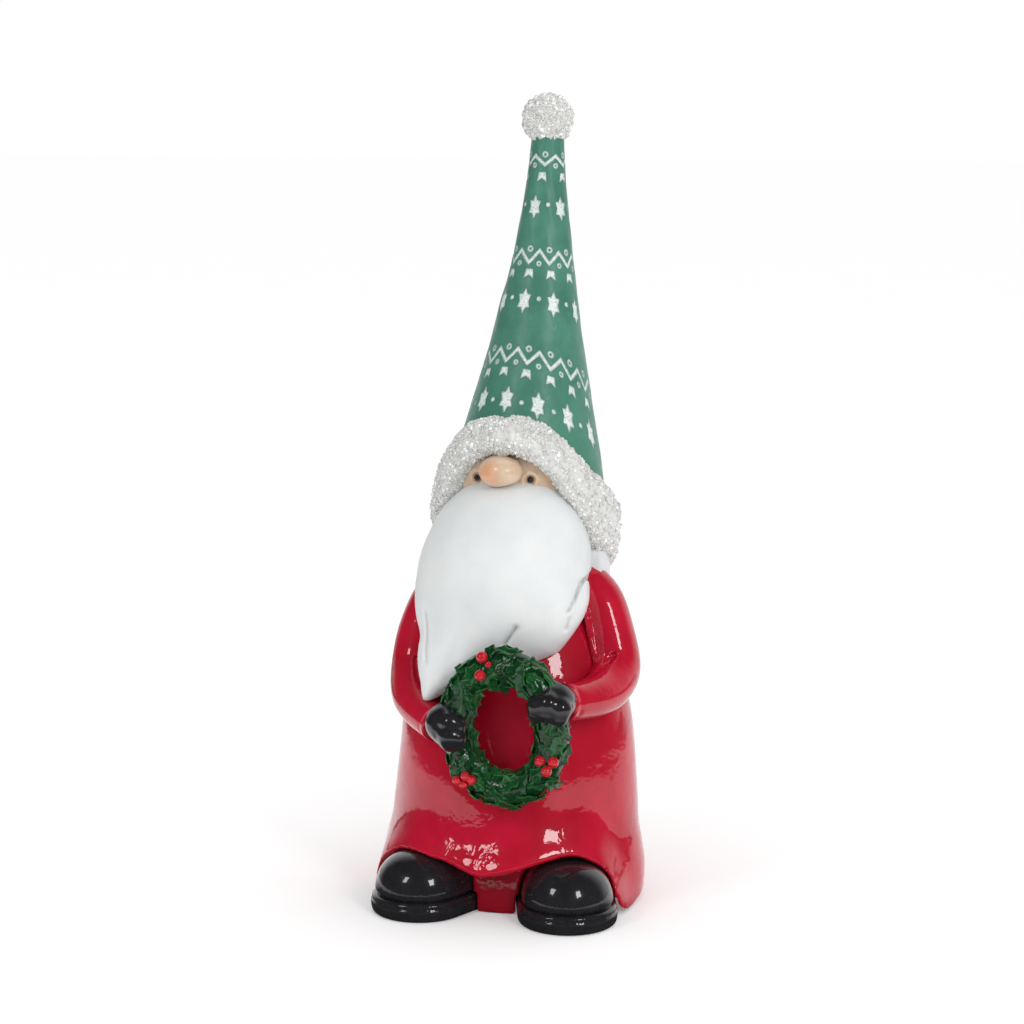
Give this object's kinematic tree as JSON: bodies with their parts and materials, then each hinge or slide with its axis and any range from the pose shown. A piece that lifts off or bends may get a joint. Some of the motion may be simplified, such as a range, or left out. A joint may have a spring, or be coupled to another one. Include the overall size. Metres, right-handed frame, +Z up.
{
  "type": "garden gnome",
  "caption": "Tall pointed-hat garden gnome in painted cast resin, bearded, holding a holly wreath, standing on boots.",
  "frame": {"origin": "centre of the base plate's underside, on the ground", "axes": "+Z up, the gnome faces -Y, its left side is +X"},
  "size_m": [0.1222, 0.138, 0.3787],
  "materials": {
    "red_paint": "gloss lacquer over cast resin",
    "bare_resin": "unpainted cast resin",
    "black_paint": "gloss lacquer over cast resin",
    "skin_paint": "satin paint with a blush",
    "white_paint": "satin paint",
    "sea_green_paint": "satin paint with white-washed engraving",
    "sparkle_grit": "coarse white grit with sparkles",
    "holly_green_paint": "gloss paint",
    "berry_paint": "gloss paint",
    "dowel_wood": "bare wood",
    "pin_steel": "plain wire"
  },
  "bodies": {
    "root": {"robe_shell": "red_paint", "base_plate": "bare_resin", "right_sleeve": "red_paint", "left_sleeve": "red_paint", "right_mitten": "black_paint", "left_mitten": "black_paint", "right_boot": "black_paint", "left_boot": "black_paint", "right_sole": "black_paint", "left_sole": "black_paint", "head": "skin_paint", "nose": "skin_paint", "right_eye": "black_paint", "left_eye": "black_paint", "beard": "white_paint", "nape_hair": "white_paint", "hat_cone": "sea_green_paint", "hat_brim": "sparkle_grit", "pompom": "sparkle_grit", "wreath_ring": "holly_green_paint", "holly_leaves": "holly_green_paint", "top_berries": "berry_paint", "right_berries": "berry_paint", "left_berries": "berry_paint", "neck_dowel": "dowel_wood", "right_arm_dowel": "dowel_wood", "left_arm_dowel": "dowel_wood", "right_boot_peg": "dowel_wood", "left_boot_peg": "dowel_wood", "beard_peg": "dowel_wood", "right_wrist_pin": "pin_steel", "left_wrist_pin": "pin_steel", "pompom_pin": "pin_steel"}
  },
  "joints": []
}
